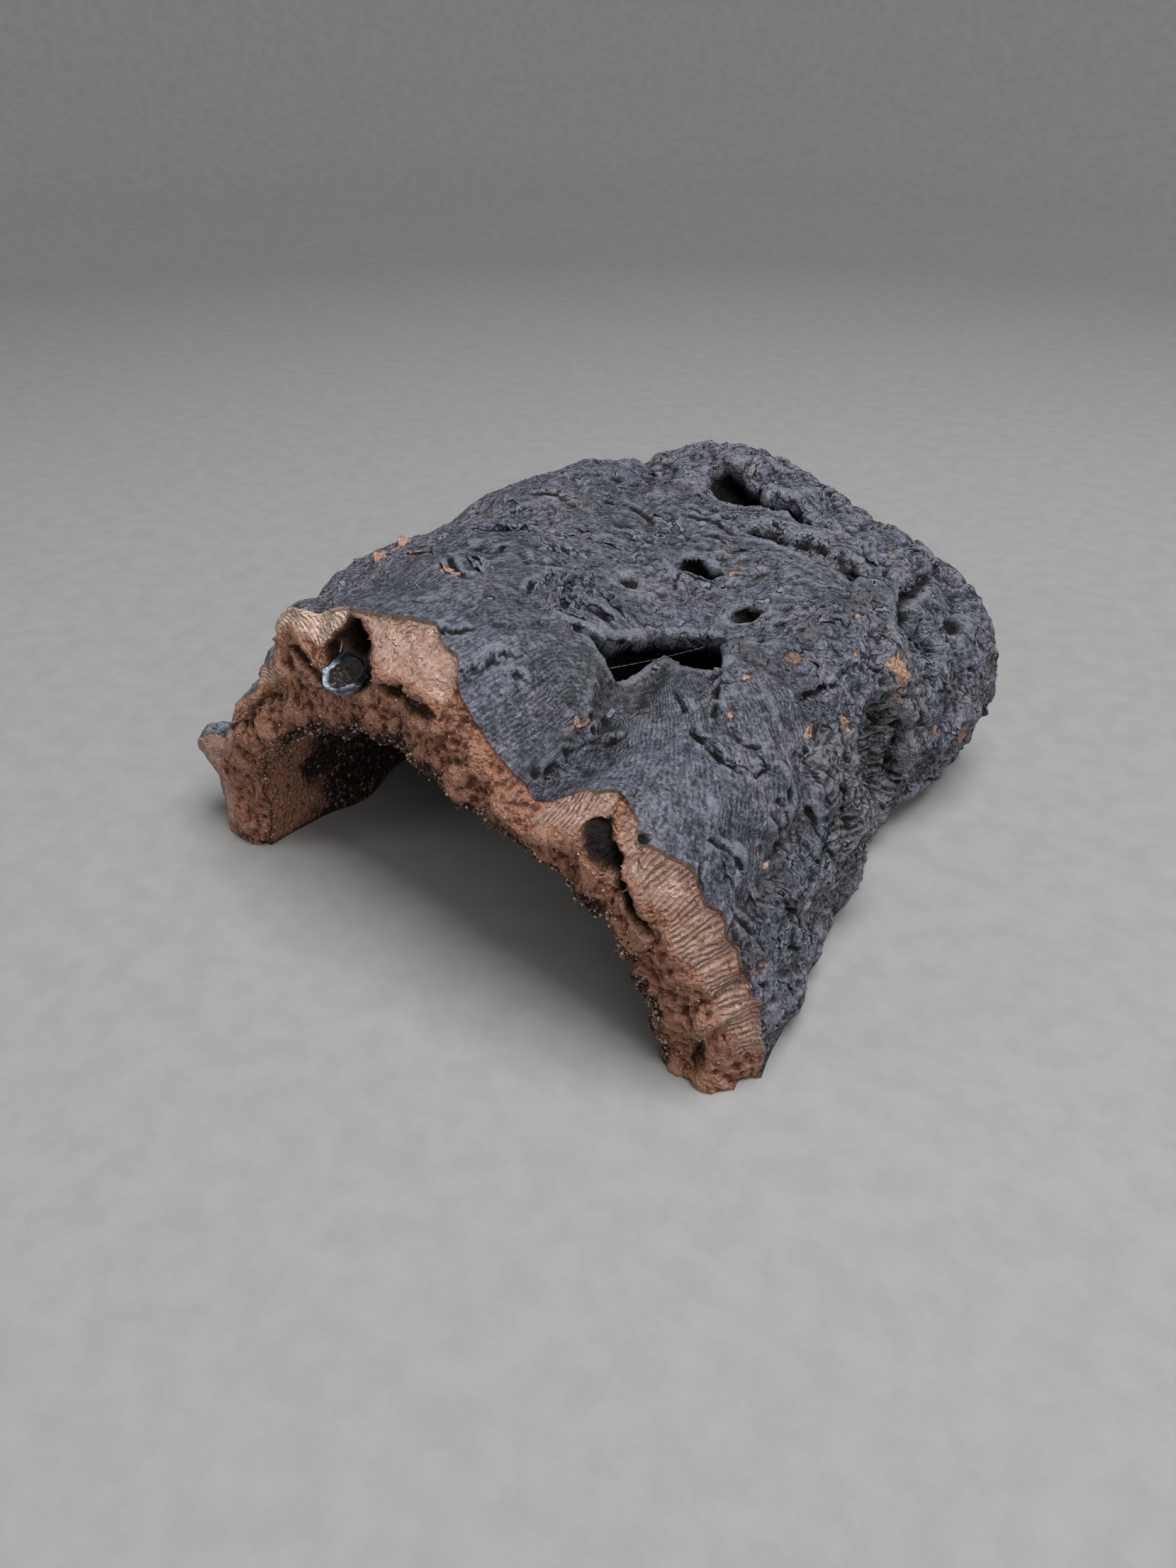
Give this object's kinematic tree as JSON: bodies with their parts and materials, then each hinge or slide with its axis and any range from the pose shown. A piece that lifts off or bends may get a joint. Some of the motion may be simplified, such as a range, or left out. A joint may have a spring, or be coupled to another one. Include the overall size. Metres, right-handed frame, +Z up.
{
  "type": "piece of cork bark",
  "caption": "Arched slab of virgin cork bark, broken at both ends, with a knotty split skin, a hollow underneath and a silk cup in a beetle gallery.",
  "frame": {"origin": "centre of the bounding box at the level the feet rest on", "axes": "+X across the arch from the left foot to the right foot, +Y along the growth from the pictured broken end to the far end, +Z up"},
  "size_m": [0.1826, 0.1776, 0.0864],
  "materials": {
    "bark": "weathered dark grey skin with fine growth lines, broken faces in pale to rusty orange cork, dark brown granular belly",
    "silk": "felted blue-grey silk round brown frass"
  },
  "bodies": {
    "root": {"cork_bark": "bark", "silk_cup": "silk"}
  },
  "joints": []
}
